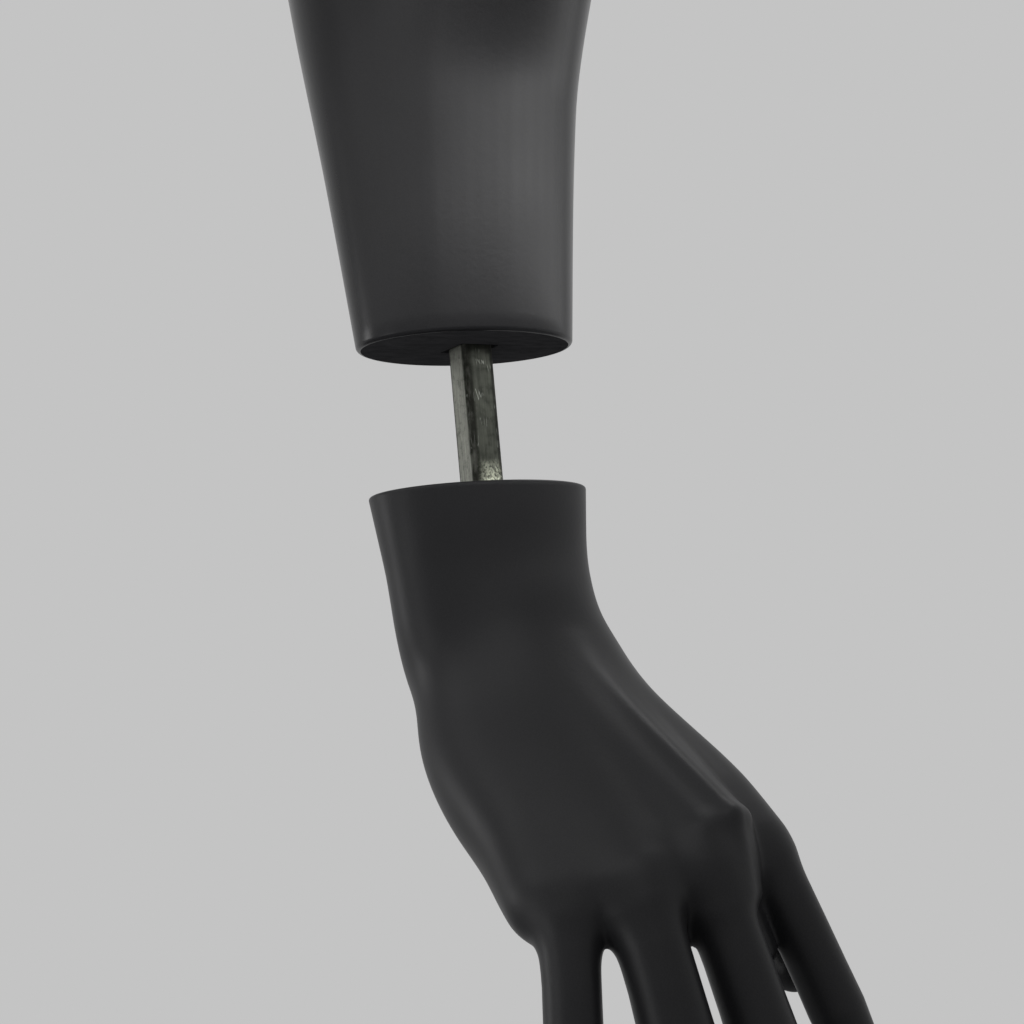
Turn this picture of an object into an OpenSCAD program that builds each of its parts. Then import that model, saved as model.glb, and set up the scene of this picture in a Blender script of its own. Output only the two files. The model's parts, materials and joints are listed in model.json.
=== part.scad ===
// Mannequin arm with a plug-in hand: a hollow moulded arm, and a solid cast hand that slides off
// its wrist on a square steel peg. The hand is drawn partly pulled out.
// Millimetres. +Z is up, +X is forward (thumb side), -Y is outward, away from the torso.
// The origin is the centre of the shoulder plate's outer face, where the stud leaves it.

/* [Arm lengths] */
// Wrist face to the elbow
forearm_len = 240; // [228:1:260]
// Elbow to the start of the shoulder bend
upper_arm_len = 246; // [230:1:270]
// How far the wrist sits behind the shoulder
elbow_back = 26; // [10:1:36]
// Radius of the bend into the shoulder face
shoulder_bend_r = 62; // [60:1:74]
// Angle of the shoulder face from level
shoulder_tilt = 60; // [52:1:66]
// Wall of the moulded shell
arm_wall = 3; // [2.4:0.1:3.6]
// Bevel around both ends of the shell
arm_edge = 1.2; // [0.6:0.1:1.6]

/* [Arm sections] */
// Width at the wrist face
wrist_w = 66; // [64:1:70]
// Depth at the wrist face
wrist_d = 48; // [46:1:52]
// Width of the lower forearm
lower_forearm_w = 75; // [73:1:80]
// Depth of the lower forearm
lower_forearm_d = 62; // [60:1:66]
// Height of the lower forearm section above the wrist face
lower_forearm_h = 50; // [45:1:58]
// Width of the middle forearm
mid_forearm_w = 87; // [84:1:92]
// Depth of the middle forearm
mid_forearm_d = 78; // [74:1:82]
// Height of the middle forearm section above the wrist face
mid_forearm_h = 102; // [95:1:110]
// Width of the forearm at its fullest
belly_w = 101; // [96:1:105]
// Depth of the forearm at its fullest
belly_d = 87; // [82:1:92]
// Height of the fullest forearm section above the wrist face
belly_h = 162; // [150:1:172]
// Height of the muscle on the outer side of the forearm
muscle_t = 9; // [4:0.5:10]
// Width at the elbow
elbow_w = 88; // [84:1:94]
// Depth at the elbow
elbow_d = 79; // [74:1:86]
// Width above the elbow
lower_upper_w = 92; // [88:1:98]
// Depth above the elbow
lower_upper_d = 82; // [78:1:88]
// Height of that section above the elbow
lower_upper_h = 50; // [40:1:60]
// Width of the upper arm at its fullest
upper_arm_w = 108; // [100:1:114]
// Depth of the upper arm at its fullest
upper_arm_d = 93; // [88:1:100]
// Height of the fullest upper arm section above the elbow
upper_arm_h = 140; // [125:1:160]
// Width where the shoulder bend starts
deltoid_w = 114; // [108:1:120]
// Depth where the shoulder bend starts
deltoid_d = 104; // [98:1:108]
// Width of the shoulder face
shoulder_w = 108; // [102:1:114]
// Depth of the shoulder face
shoulder_d = 94; // [88:1:98]
// Outward shift of the shoulder sections from the arm's axis
deltoid_shift = 5; // [3:0.5:7]

/* [Wrist socket] */
// Thickness of the wrist end cap
wrist_cap_t = 5; // [4:0.5:7]
// Side of the square hole in the cap, beyond the peg, on each side
cap_hole_clear = 1.2; // [0.8:0.1:1.6]
// Height of the wooden plug in the wrist
wrist_block_h = 50; // [46:1:60]
// Wall of the square socket tube
tube_wall = 2; // [1.6:0.1:2.4]
// Room between the peg and the socket tube, on each side
socket_clear = 0.25; // [0.2:0.05:0.35]
// Length of the socket tube
tube_len = 88; // [82:1:100]
// Thickness of the tube's flange and end stop
socket_plate_t = 2; // [1.6:0.2:3]
// Width of the flange
flange_w = 40; // [38:1:42]
// Depth of the flange
flange_d = 26; // [24:1:27]
// Spacing of the flange screws across the width
socket_screw_dx = 30; // [28:1:31]
// Spacing of the flange screws across the depth
socket_screw_dy = 15; // [14:0.5:16]
// Radius of the flange screws
socket_screw_r = 1.75; // [1.5:0.05:2]
// Length of the flange screws
socket_screw_len = 20; // [14:1:26]
// Width of the leaf spring
spring_w = 6; // [5:0.5:6.5]
// Thickness of the leaf spring
spring_t = 0.8; // [0.6:0.1:1]
// Room left between the leaf spring and the peg
spring_clear = 0.15; // [0.1:0.05:0.2]
// Height of the spring's bow above the tube's lower end
spring_bow_h = 12; // [11:0.5:14]
// Height of the spring's rivet above its bow
spring_rivet_h = 22; // [20:1:25]
// Radius of the spring's rivet
rivet_r = 1.5; // [1.2:0.1:1.8]

/* [Hand] */
// Gap between the arm and the hand, as drawn
hand_gap = 41.5; // [36:0.5:46]
// Hand face to the wrist joint
neck_len = 42; // [39:1:45]
// Wrist bent back towards the back of the hand
hand_bend = 42; // [36:1:46]
// Wrist turned towards the thumb side
hand_deviation = 8; // [4:1:12]
// Hand turned about its own length
hand_turn = -14; // [-18:1:-8]
// Length of the first finger bone: index, middle, ring, little
proximal_len = [41, 45, 39, 31]; // [27:1:49]
// Length of the second finger bone: index, middle, ring, little
middle_len = [25, 29, 27, 20]; // [16:1:32]
// Length of the fingertip: index, middle, ring, little
distal_len = [21, 22, 22, 19]; // [15:1:26]
// Bend at the knuckles
knuckle_bend = 34; // [28:1:38]
// Bend at the second and third finger joints
finger_bend = [8, 8, 10, 10]; // [4:1:14]

/* [Peg] */
// Side of the square peg
peg_w = 10; // [9:0.5:11]
// Radius of the peg's corners
peg_corner_r = 2.2; // [1:0.1:2.6]
// Forward shift of the peg from the middle of the wrist
peg_shift = 1.4; // [0:0.2:2]
// Length of peg still in the arm, as drawn
peg_engaged = 25; // [22:1:30]
// Length of peg cast into the hand
peg_embed = 34; // [30:1:38]
// Radius of the cross pin that anchors the peg
pin_r = 2; // [1.5:0.1:2.4]
// Length of the cross pin
pin_len = 26; // [20:1:30]

/* [Shoulder fitting] */
// Thickness of the shoulder end cap
shoulder_cap_t = 5; // [4:0.5:7]
// Radius of the shoulder plate
plate_r = 34; // [32:1:36]
// Thickness of the shoulder plate
plate_t = 3; // [2.5:0.5:4]
// Radius of the stud
stud_r = 8; // [7:0.5:9]
// Length of the stud outside the plate
stud_len = 28; // [22:1:34]
// Bevel at the stud's tip
stud_tip = 1.5; // [0.5:0.5:2]
// Radius of the stud's inner bolt
bolt_r = 5; // [4:0.5:6]
// Radius of the wooden block behind the cap
shoulder_block_r = 36; // [34:1:37]
// Thickness of the wooden block behind the cap
shoulder_block_t = 24; // [18:1:26]
// Radius of the dowel that stops the arm turning
dowel_r = 3; // [2.5:0.5:4]
// Radius of the dowel's thinner shank in the plate and cap
dowel_shank_r = 2.2; // [1.8:0.1:2.3]
// Length of the dowel outside the plate
dowel_len = 8; // [6:1:12]
// Distance of the dowel from the stud
dowel_offset = 22; // [20:1:25]
// Radius of the plate screws' circle
plate_screw_ring_r = 25; // [23:1:27]
// Radius of the plate screws
plate_screw_r = 2.25; // [2:0.25:2.5]
// Length of the plate screws
plate_screw_len = 24; // [18:1:28]

/* [Hidden] */

// Colours
paint = [0.2, 0.2, 0.21];
dark_paint = [0.1, 0.1, 0.11];
timber = [0.72, 0.56, 0.38];
steel = [0.55, 0.56, 0.53];
zinc = [0.68, 0.69, 0.7];

// Clearances
fit_clear = 0.05;
bond_clear = 0.3;
eps = 0.01;
over = 1;

// Smoothness
ring_sides = 32;
ring_step = 13;
round_sides = 48;
flesh_sides = 20;

// Where the arm's path runs
bend_start_h = forearm_len + upper_arm_len;
path_len = bend_start_h + shoulder_bend_r * shoulder_tilt * PI / 180;
face_centre = -plate_t * [0, sin(shoulder_tilt), cos(shoulder_tilt)];
axis_y = face_centre[1] - shoulder_bend_r * (1 - cos(shoulder_tilt));
bend_z = face_centre[2] - shoulder_bend_r * sin(shoulder_tilt);
wrist_z = bend_z - bend_start_h;
peg_x = -elbow_back;
hand_z = wrist_z - hand_gap;

// How far the middle of each section lies forward and outward, from the wrist up
forward = [-peg_shift, -peg_shift, -0.9, 1, -2, 1, elbow_back / 2, elbow_back, elbow_back];
outward = [0, 0, 0, 0, 0, 0, 1, deltoid_shift, deltoid_shift];

// Sections of the arm from the wrist up: height along the path, width, depth
arm_sections = [
    [0, wrist_w, wrist_d],
    [lower_forearm_h, lower_forearm_w, lower_forearm_d],
    [mid_forearm_h, mid_forearm_w, mid_forearm_d],
    [belly_h, belly_w, belly_d],
    [forearm_len, elbow_w, elbow_d],
    [forearm_len + lower_upper_h, lower_upper_w, lower_upper_d],
    [forearm_len + upper_arm_h, upper_arm_w, upper_arm_d],
    [bend_start_h, deltoid_w, deltoid_d],
    [path_len, shoulder_w, shoulder_d],
];
section_h = [for (s = arm_sections) s[0]];

// Smooth curve through one value for each section
function column(c) = [for (s = arm_sections) s[c]];
function span_at(h, i = 0) = i < len(section_h) - 2 && h > section_h[i + 1] ? span_at(h, i + 1) : i;
function slope(v, i) =
    let (a = max(i - 1, 0), b = min(i + 1, len(v) - 1))
    (v[b] - v[a]) / (section_h[b] - section_h[a]);
function curve(v, h) =
    let (i = span_at(h), w = section_h[i + 1] - section_h[i], t = (h - section_h[i]) / w)
    (2 * t ^ 3 - 3 * t ^ 2 + 1) * v[i] + (t ^ 3 - 2 * t ^ 2 + t) * w * slope(v, i)
    + (3 * t ^ 2 - 2 * t ^ 3) * v[i + 1] + (t ^ 3 - t ^ 2) * w * slope(v, i + 1);

// Outer forearm muscle: where it starts, is full, fades and ends, and the angle that it faces
muscle_h = [lower_forearm_h + 16, belly_h - 32, belly_h - 12, forearm_len];
muscle_turn = 72;
function ease(t) =
    let (u = min(max(t, 0), 1))
    u ^ 2 * (3 - 2 * u);
function muscle(h, a) =
    muscle_t * ease((h - muscle_h[0]) / (muscle_h[1] - muscle_h[0]))
    * ease((muscle_h[3] - h) / (muscle_h[3] - muscle_h[2])) * max(0, cos(a - muscle_turn)) ^ 2;

// One ring of the arm at height h, drawn in by a distance
function bend_at(h) = max(0, h - bend_start_h) / shoulder_bend_r * 180 / PI;
function path_centre(h) =
    let (b = bend_at(h))
    [peg_x, axis_y + shoulder_bend_r * (1 - cos(b)),
        h > bend_start_h ? bend_z + shoulder_bend_r * sin(b) : wrist_z + h];
function arm_ring(h, inset = 0) =
    let (c = path_centre(h), b = bend_at(h), out = [0, -cos(b), sin(b)],
        x0 = curve(forward, h), y0 = curve(outward, h),
        rx = curve(column(1), h) / 2 - inset, ry = curve(column(2), h) / 2 - inset)
    [for (k = [0:ring_sides - 1])
        let (a = -360 * k / ring_sides, m = muscle(h, a))
        c + [x0 + (rx + m) * cos(a), 0, 0] + (y0 + (ry + m) * sin(a)) * out];

// Heights of the rings, with the bevel at both ends
ring_count = ceil(path_len / ring_step);
ring_h = [for (k = [0:ring_count]) arm_edge + (path_len - 2 * arm_edge) * k / ring_count];

// Faces between rings of equal size, from ring index a to b
function band(a, b, n) =
    [for (k = [0:n - 1]) each
        [[a * n + k, a * n + (k + 1) % n, b * n + (k + 1) % n],
        [a * n + k, b * n + (k + 1) % n, b * n + k]]];
function bands(count, n, closed) =
    [for (i = [0:count - (closed ? 1 : 2)]) each band(i, (i + 1) % count, n)];

// Closed skin through a loop of rings, as on a tube
module ring_tube(rings) {
    n = len(rings[0]);
    polyhedron(points = [for (r = rings) each r], faces = bands(len(rings), n, true), convexity = 6);
}

// Solid through a stack of rings
module ring_solid(rings) {
    n = len(rings[0]);
    last = (len(rings) - 1) * n;
    ends = [[for (k = [n - 1:-1:0]) k], [for (k = [0:n - 1]) last + k]];
    polyhedron(points = [for (r = rings) each r], faces = concat(bands(len(rings), n, false), ends));
}

// Flat oval
module oval(w, d) {
    polygon([for (k = [0:round_sides - 1])
        let (a = 360 * k / round_sides)
        [w / 2 * cos(a), d / 2 * sin(a)]]);
}

// Square with rounded corners
module round_square(w, d, r) {
    square([w - 2 * r, d], center = true);
    square([w, d - 2 * r], center = true);
    for (x = [-1, 1], y = [-1, 1])
        translate([x * (w / 2 - r), y * (d / 2 - r)]) circle(r, $fn = round_sides);
}

// Countersunk screw with its head's flat face at z = 0, pointing up
module flat_screw(r, length, clear = 0) {
    head_r = 2 * r;
    rotate_extrude($fn = round_sides)
        polygon([[0, 0], [head_r + clear, 0], [r + clear, r], [r + clear, length], [0, length]]);
}

// Places on the object
module at_wrist(h) {
    translate([peg_x, axis_y, wrist_z + h]) children();
}
module at_shoulder(depth = 0) {
    rotate([-shoulder_tilt, 0, 0]) translate([0, 0, -depth]) children();
}
module at_socket_screws() {
    for (x = [-1, 1], y = [-1, 1])
        translate([x * socket_screw_dx / 2, y * socket_screw_dy / 2, 0]) children();
}
module at_plate_screws() {
    for (a = [45:90:315])
        rotate(a) translate([plate_screw_ring_r, 0, 0]) rotate([180, 0, 0]) children();
}

// Moulded shell of the whole arm
module arm_shell() {
    outer = concat([arm_ring(0, arm_edge)], [for (h = ring_h) arm_ring(h)], [arm_ring(path_len, arm_edge)]);
    inner_h = concat([path_len], [for (k = [ring_count:-1:0]) ring_h[k]], [0]);
    inner = [for (h = inner_h) arm_ring(h, arm_wall)];
    color(paint) ring_tube(concat(outer, inner));
}

// Wrist fittings, placed from the wrist face up
tube_inner = peg_w + 2 * socket_clear;
tube_outer = tube_inner + 2 * tube_wall;
tube_hole = tube_outer + 2 * fit_clear;
tube_z = wrist_cap_t;
block_z = wrist_cap_t + socket_plate_t;
spring_z = tube_z + spring_bow_h;
rivet_z = spring_z + spring_rivet_h;
block_steps = 4;
flange_corner_r = 4;
spring_side_clear = 0.5;
spring_slot_w = spring_w + 2 * spring_side_clear;
spring_slot_h = 18;
spring_land = 1.5;
spring_tail = 1;
spring_pad = 4.5;
rivet_head_w = 1;
rivet_head_r = rivet_r + rivet_head_w;
rivet_head_t = 1.2;
groove_clear = 1.5;
groove_d = tube_outer / 2 + spring_t + rivet_head_t + groove_clear;

module wrist_cap() {
    inset = 2 * (arm_wall + bond_clear);
    hole = peg_w + 2 * cap_hole_clear;
    color(dark_paint) at_wrist(0) linear_extrude(wrist_cap_t) difference() {
        translate([-peg_shift, 0]) oval(wrist_w - inset, wrist_d - inset);
        square(hole, center = true);
    }
}

module wrist_block() {
    rings = [for (k = [0:block_steps])
        arm_ring(block_z + wrist_block_h * k / block_steps, arm_wall + bond_clear)];
    color(timber) difference() {
        ring_solid(rings);
        at_wrist(block_z - eps) {
            translate([0, 0, wrist_block_h / 2])
                cube([tube_hole, tube_hole, wrist_block_h + over], center = true);
            translate([-spring_slot_w / 2, 0, -over])
                cube([spring_slot_w, groove_d, wrist_block_h + 2 * over]);
        }
        at_wrist(tube_z) at_socket_screws() flat_screw(socket_screw_r, socket_screw_len + over, fit_clear);
    }
}

module socket_tube() {
    color(steel) at_wrist(tube_z) difference() {
        linear_extrude(tube_len) difference() {
            round_square(tube_outer, tube_outer, tube_wall);
            square(tube_inner, center = true);
        }
        translate([-spring_slot_w / 2, 0, spring_bow_h - spring_slot_h / 2])
            cube([spring_slot_w, tube_outer, spring_slot_h]);
        translate([0, 0, rivet_z - tube_z]) rotate([-90, 0, 0])
            cylinder(r = rivet_r + fit_clear, h = tube_outer, $fn = round_sides);
    }
}

module socket_flange() {
    color(steel) at_wrist(tube_z) difference() {
        linear_extrude(socket_plate_t) difference() {
            round_square(flange_w, flange_d, flange_corner_r);
            square(tube_hole, center = true);
        }
        at_socket_screws() flat_screw(socket_screw_r, socket_screw_len, fit_clear);
    }
}

module socket_screws() {
    color(zinc) at_wrist(tube_z) at_socket_screws() flat_screw(socket_screw_r, socket_screw_len);
}

module socket_stop() {
    color(steel) at_wrist(tube_z + tube_len) linear_extrude(socket_plate_t)
        round_square(tube_outer, tube_outer, tube_wall);
}

// Leaf spring: riveted outside the tube, bowed in through the slot to press on the peg
module grip_spring() {
    far = tube_outer / 2 + fit_clear;
    near = peg_w / 2 + spring_clear;
    half = spring_slot_h / 2;
    inner = [[far, -half - spring_tail], [far, spring_land - half], [near, -spring_land],
        [near, spring_land], [far, half - spring_land], [far, spring_rivet_h + spring_pad]];
    outline = concat(inner, [for (k = [len(inner) - 1:-1:0]) inner[k] + [spring_t, 0]]);
    color(zinc) at_wrist(spring_z) rotate([90, 0, 90]) difference() {
        linear_extrude(spring_w, center = true) polygon(outline);
        translate([0, spring_rivet_h, 0]) rotate([0, 90, 0])
            cylinder(r = rivet_r + fit_clear, h = tube_outer, $fn = round_sides);
    }
}

module spring_rivet() {
    shank = tube_wall + fit_clear + spring_t;
    color(zinc) at_wrist(rivet_z) translate([0, tube_inner / 2, 0]) rotate([-90, 0, 0]) {
        cylinder(r = rivet_r, h = shank + fit_clear, $fn = round_sides);
        translate([0, 0, shank + fit_clear])
            cylinder(r = rivet_head_r, h = rivet_head_t, $fn = round_sides);
    }
}

// Shoulder fittings, placed from the plate's outer face inwards
stud_back = plate_t + shoulder_cap_t + shoulder_block_t;
washer_t = 2;
washer_rim = 6;
nut_t = 8;
nut_wall = 3.5;
bolt_end = 2;
dowel_depth = plate_t + shoulder_cap_t;

module stud_hole(depth) {
    translate([0, 0, -depth - over])
        cylinder(r = bolt_r + fit_clear, h = depth + 2 * over, $fn = round_sides);
}

module dowel_hole(depth) {
    translate([0, -dowel_offset, -depth - over])
        cylinder(r = dowel_shank_r + fit_clear, h = depth + 2 * over, $fn = round_sides);
}

module shoulder_cap() {
    inset = 2 * (arm_wall + bond_clear);
    color(dark_paint) at_shoulder(plate_t + shoulder_cap_t) difference() {
        linear_extrude(shoulder_cap_t)
            translate([0, -deltoid_shift]) oval(shoulder_w - inset, shoulder_d - inset);
        translate([0, 0, shoulder_cap_t]) {
            stud_hole(shoulder_cap_t);
            dowel_hole(shoulder_cap_t);
            translate([0, 0, plate_t]) at_plate_screws()
                flat_screw(plate_screw_r, plate_screw_len, fit_clear);
        }
    }
}

module shoulder_block() {
    color(timber) at_shoulder(stud_back) difference() {
        cylinder(r = shoulder_block_r, h = shoulder_block_t, $fn = round_sides);
        translate([0, 0, shoulder_block_t]) {
            stud_hole(shoulder_block_t);
            translate([0, 0, plate_t + shoulder_cap_t]) at_plate_screws()
                flat_screw(plate_screw_r, plate_screw_len + over, fit_clear);
        }
    }
}

module shoulder_plate() {
    color(steel) at_shoulder() difference() {
        translate([0, 0, -plate_t]) cylinder(r = plate_r, h = plate_t, $fn = round_sides);
        stud_hole(plate_t);
        dowel_hole(plate_t);
        at_plate_screws() flat_screw(plate_screw_r, plate_screw_len, fit_clear);
    }
}

module shoulder_stud() {
    bolt_len = stud_back + washer_t + nut_t + bolt_end;
    color(zinc) at_shoulder() rotate_extrude($fn = round_sides)
        polygon([[0, -bolt_len], [bolt_r, -bolt_len], [bolt_r, 0], [stud_r, 0],
            [stud_r, stud_len - stud_tip], [stud_r - stud_tip, stud_len], [0, stud_len]]);
}

module stud_washer() {
    color(zinc) at_shoulder(stud_back + washer_t) difference() {
        cylinder(r = bolt_r + washer_rim, h = washer_t, $fn = round_sides);
        translate([0, 0, washer_t]) stud_hole(washer_t);
    }
}

module stud_nut() {
    color(zinc) at_shoulder(stud_back + washer_t + nut_t) difference() {
        cylinder(r = (bolt_r + nut_wall) / cos(30), h = nut_t, $fn = 6);
        translate([0, 0, nut_t]) stud_hole(nut_t);
    }
}

module shoulder_dowel() {
    color(zinc) at_shoulder() translate([0, -dowel_offset, 0]) rotate_extrude($fn = round_sides)
        polygon([[0, -dowel_depth], [dowel_shank_r, -dowel_depth], [dowel_shank_r, 0], [dowel_r, 0],
            [dowel_r, dowel_len], [0, dowel_len]]);
}

module shoulder_screws() {
    color(zinc) at_shoulder() at_plate_screws() flat_screw(plate_screw_r, plate_screw_len);
}

// Hand bones, from the wrist joint: fingers point down, -Y is the back of the hand
palm_roots = [[12, -2, -20], [4, -3, -18], [-6, -2, -18], [-16, 0, -20]];
palm_heads = [[22.4, -2.5, -91], [4.6, -5.5, -92], [-16.2, -4.2, -91], [-33.4, 0.6, -79]];
palm_root_r = [11, 12, 12, 12.5];
palm_head_r = [10, 10, 10.2, 11];
knuckles = [[22, -2.5, -95.5], [3.4, -5, -95], [-17.8, -4, -97], [-33.9, 1.5, -89]];
splay = [6.2, -1.5, -6, -20.5];
finger_r = [[8.6, 8, 7.1, 5.8], [9.2, 9.1, 7.7, 6.1], [9.3, 9.8, 8, 6.2], [8, 7.5, 6.5, 5.3]];
web_at = [0.34, 0.24, 0.04];
web_r = [7, 4.5];
thumb = [[16, 9, -18], [29, 26, -54], [34, 35, -86], [34.5, 38, -109]];
thumb_r = [14, 11.5, 9.8, 7.4];
palm_pads = [
    [[22.5, 15, -40], [14, 12, 26]],
    [[-23.6, 10, -45], [13, 13.5, 30]],
    [[-5, 9, -76], [29, 10, 14]],
    [[20, 4.5, -72], [11, 11.5, 22]],
    [[0, 7, -50], [24, 11, 36]],
    [[-1, 2, -9], [26.5, 17, 21]],
];
neck_taper = [9, 8];
neck_waist = 0.8;

function bone_end(p, length, side, bend) =
    p + length * [sin(side), cos(side) * sin(bend), -cos(side) * cos(bend)];
function finger(i) =
    let (b1 = knuckle_bend, b2 = b1 + finger_bend[i], b3 = b2 + finger_bend[i],
        p1 = bone_end(knuckles[i], proximal_len[i], splay[i], b1),
        p2 = bone_end(p1, middle_len[i], splay[i], b2))
    [knuckles[i], p1, p2, bone_end(p2, distal_len[i], splay[i], b3)];

function web_point(i, t) = let (f = finger(i)) f[0] * (1 - t) + f[1] * t;

module ball(p, r) {
    translate(p) sphere(r, $fn = flesh_sides);
}

module bones(points, radii) {
    for (k = [0:len(points) - 2])
        hull() {
            ball(points[k], radii[k]);
            ball(points[k + 1], radii[k + 1]);
        }
}

module flesh() {
    for (i = [0:3])
        bones(concat([palm_heads[i]], finger(i)), concat([palm_head_r[i]], finger_r[i]));
    for (i = [0:2])
        bones([(knuckles[i] + knuckles[i + 1]) / 2,
            (web_point(i, web_at[i]) + web_point(i + 1, web_at[i])) / 2], web_r);
    bones(thumb, thumb_r);
    for (i = [0:2])
        hull() for (k = [i, i + 1]) {
            ball(palm_roots[k], palm_root_r[k]);
            ball(palm_heads[k], palm_head_r[k]);
        }
    hull() {
        ball(thumb[0], thumb_r[0]);
        ball((thumb[0] + thumb[1]) / 2, thumb_r[1]);
        ball((palm_heads[0] + palm_roots[0]) / 2, palm_head_r[0]);
    }
    for (p = palm_pads)
        translate(p[0]) scale(p[1]) sphere(1, $fn = flesh_sides);
}

module at_hand_joint() {
    translate([peg_x - peg_shift, axis_y, hand_z - neck_len])
        rotate([-hand_bend, 0, 0]) rotate([0, -hand_deviation, 0]) rotate(hand_turn) children();
}

// Oval neck of the hand, from its flat face to the wrist joint
module hand_neck() {
    slice = 0.5;
    hull() {
        translate([peg_x - peg_shift, axis_y, hand_z - slice])
            linear_extrude(slice) oval(wrist_w, wrist_d);
        translate([peg_x, axis_y, hand_z - neck_len * neck_waist])
            linear_extrude(slice) oval(wrist_w - neck_taper[0], wrist_d - neck_taper[1]);
    }
    hull() {
        translate([peg_x, axis_y, hand_z - neck_len * neck_waist])
            linear_extrude(slice) oval(wrist_w - neck_taper[0], wrist_d - neck_taper[1]);
        at_hand_joint() for (k = [0, 3]) ball(palm_roots[k], palm_root_r[k]);
    }
}

module peg_outline(clear = 0) {
    round_square(peg_w + 2 * clear, peg_w + 2 * clear, peg_corner_r);
}

module at_pin(length) {
    translate([peg_x, axis_y, hand_z - peg_embed / 2]) rotate([0, 90, 0])
        translate([0, 0, -length / 2]) children();
}

module hand_casting() {
    cast_clear = 0.1;
    color(paint) difference() {
        union() {
            hand_neck();
            at_hand_joint() flesh();
        }
        translate([peg_x, axis_y, hand_z - peg_embed - cast_clear])
            linear_extrude(peg_embed + over) peg_outline(cast_clear);
        at_pin(pin_len + 2 * cast_clear)
            cylinder(r = pin_r + cast_clear, h = pin_len + 2 * cast_clear, $fn = round_sides);
        translate([peg_x, axis_y, hand_z]) cylinder(r = wrist_w, h = neck_len);
    }
}

module hand_peg() {
    color(steel) difference() {
        translate([peg_x, axis_y, hand_z - peg_embed])
            linear_extrude(peg_embed + hand_gap + peg_engaged) peg_outline();
        at_pin(pin_len) cylinder(r = pin_r + fit_clear, h = pin_len, $fn = round_sides);
    }
}

module peg_pin() {
    color(zinc) at_pin(pin_len) cylinder(r = pin_r, h = pin_len, $fn = round_sides);
}

arm_shell();
wrist_cap();
wrist_block();
socket_tube();
socket_flange();
socket_screws();
socket_stop();
grip_spring();
spring_rivet();
shoulder_cap();
shoulder_block();
shoulder_plate();
shoulder_stud();
stud_washer();
stud_nut();
shoulder_dowel();
shoulder_screws();
hand_casting();
hand_peg();
peg_pin();
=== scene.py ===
"""Looks of a display mannequin arm: a painted arm, a painted hand pulled partly off its wrist, and a
worn steel peg between them, in soft studio light."""

import json
import math

import bmesh
import bpy
import numpy as np
from mathutils import Matrix, Vector


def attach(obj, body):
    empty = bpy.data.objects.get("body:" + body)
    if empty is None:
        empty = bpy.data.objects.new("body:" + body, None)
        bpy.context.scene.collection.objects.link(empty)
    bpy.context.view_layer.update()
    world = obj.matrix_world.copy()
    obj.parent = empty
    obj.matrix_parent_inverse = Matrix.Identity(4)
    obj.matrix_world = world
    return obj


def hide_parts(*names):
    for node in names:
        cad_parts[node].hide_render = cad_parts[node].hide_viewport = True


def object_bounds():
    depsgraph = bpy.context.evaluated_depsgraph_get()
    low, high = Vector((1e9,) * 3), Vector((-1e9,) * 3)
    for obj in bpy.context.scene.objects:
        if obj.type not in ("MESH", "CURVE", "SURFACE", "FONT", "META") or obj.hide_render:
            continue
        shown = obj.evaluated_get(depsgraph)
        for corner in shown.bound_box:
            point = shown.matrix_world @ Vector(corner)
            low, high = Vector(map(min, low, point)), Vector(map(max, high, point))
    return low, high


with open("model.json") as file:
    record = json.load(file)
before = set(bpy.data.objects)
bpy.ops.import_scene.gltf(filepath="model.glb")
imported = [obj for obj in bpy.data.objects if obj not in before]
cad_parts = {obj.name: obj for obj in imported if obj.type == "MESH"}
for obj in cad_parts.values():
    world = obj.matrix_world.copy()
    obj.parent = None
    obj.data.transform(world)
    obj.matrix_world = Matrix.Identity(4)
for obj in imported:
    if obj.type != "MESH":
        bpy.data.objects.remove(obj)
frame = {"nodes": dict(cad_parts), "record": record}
cad_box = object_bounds()

MM = 0.001

# Sizes of the part, in millimetres, as its source has them
FOREARM_LEN, UPPER_ARM_LEN = 240, 246
ELBOW_BACK = 26
BEND_R, SHOULDER_TILT = 62, math.radians(60)
ARM_WALL, ARM_EDGE = 3, 1.2
PLATE_T = 3
WRIST_W, WRIST_D = 66, 48
CAP_T = 5
HAND_GAP, NECK_LEN = 41.5, 42
HAND_BEND, HAND_DEVIATION, HAND_TURN = 42, 8, -14
PEG_SHIFT, PEG_W, PEG_CORNER = 1.4, 10, 2.2

# Points of the quarter circle that rounds an edge
EDGE_POINTS = 6

# Where the arm's path runs
BEND_START = FOREARM_LEN + UPPER_ARM_LEN
PATH_LEN = BEND_START + BEND_R * SHOULDER_TILT
AXIS_Y = -PLATE_T * math.sin(SHOULDER_TILT) - BEND_R * (1 - math.cos(SHOULDER_TILT))
BEND_Z = -PLATE_T * math.cos(SHOULDER_TILT) - BEND_R * math.sin(SHOULDER_TILT)
WRIST_Z = BEND_Z - BEND_START
PEG_X = -ELBOW_BACK
HAND_Z = WRIST_Z - HAND_GAP
WRIST = np.array([PEG_X, AXIS_Y, WRIST_Z])

# Sections of the arm from the wrist up: height along the path, forward, outward, width, depth
SECTIONS = np.array([
    [0, -PEG_SHIFT, 0, WRIST_W, WRIST_D],
    [50, -PEG_SHIFT, 0, 75, 62],
    [102, -0.9, 0, 87, 78],
    [162, 1, 0, 101, 87],
    [FOREARM_LEN, -2, 0, 88, 79],
    [FOREARM_LEN + 50, 1, 0, 92, 82],
    [FOREARM_LEN + 140, ELBOW_BACK / 2, 1, 108, 93],
    [BEND_START, ELBOW_BACK, 5, 114, 104],
    [PATH_LEN, ELBOW_BACK, 5, 108, 94],
])


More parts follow.
